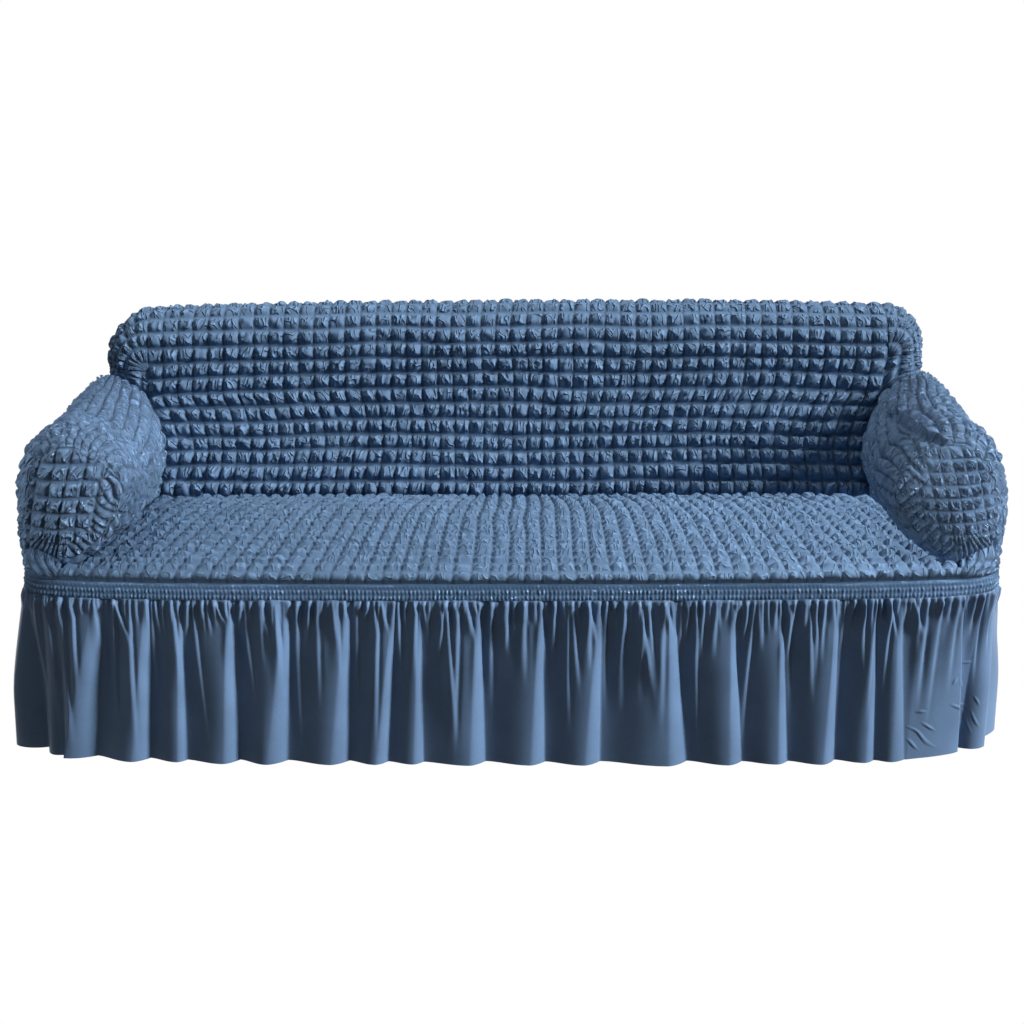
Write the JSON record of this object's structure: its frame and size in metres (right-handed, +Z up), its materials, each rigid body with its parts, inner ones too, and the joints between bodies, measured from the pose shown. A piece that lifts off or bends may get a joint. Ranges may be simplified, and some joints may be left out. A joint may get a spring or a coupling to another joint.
{
  "type": "sofa slipcover",
  "caption": "Stretch slipcover for a three-seat sofa: puckered cloth over the seat, back and rolled arms, with a gathered skirt below an elastic band.",
  "frame": {"origin": "on the floor, under the middle of the cover's outline seen from above", "axes": "+X to the right as seen from the front, -Y to the front, +Z up"},
  "size_m": [2.1648, 0.9449, 0.866],
  "materials": {
    "puckered_cloth": "knitted polyester and elastane, puckered all over in small squares",
    "shirred_band": "elastic band with two shirred rows",
    "plain_cloth": "smooth woven polyester with a slight sheen"
  },
  "bodies": {
    "root": {"inside_back": "puckered_cloth", "outside_back": "puckered_cloth", "seat": "puckered_cloth", "arm_left": "puckered_cloth", "arm_right": "puckered_cloth", "arm_left_front": "puckered_cloth", "arm_right_front": "puckered_cloth", "waist_band": "shirred_band", "skirt": "plain_cloth"}
  },
  "joints": []
}
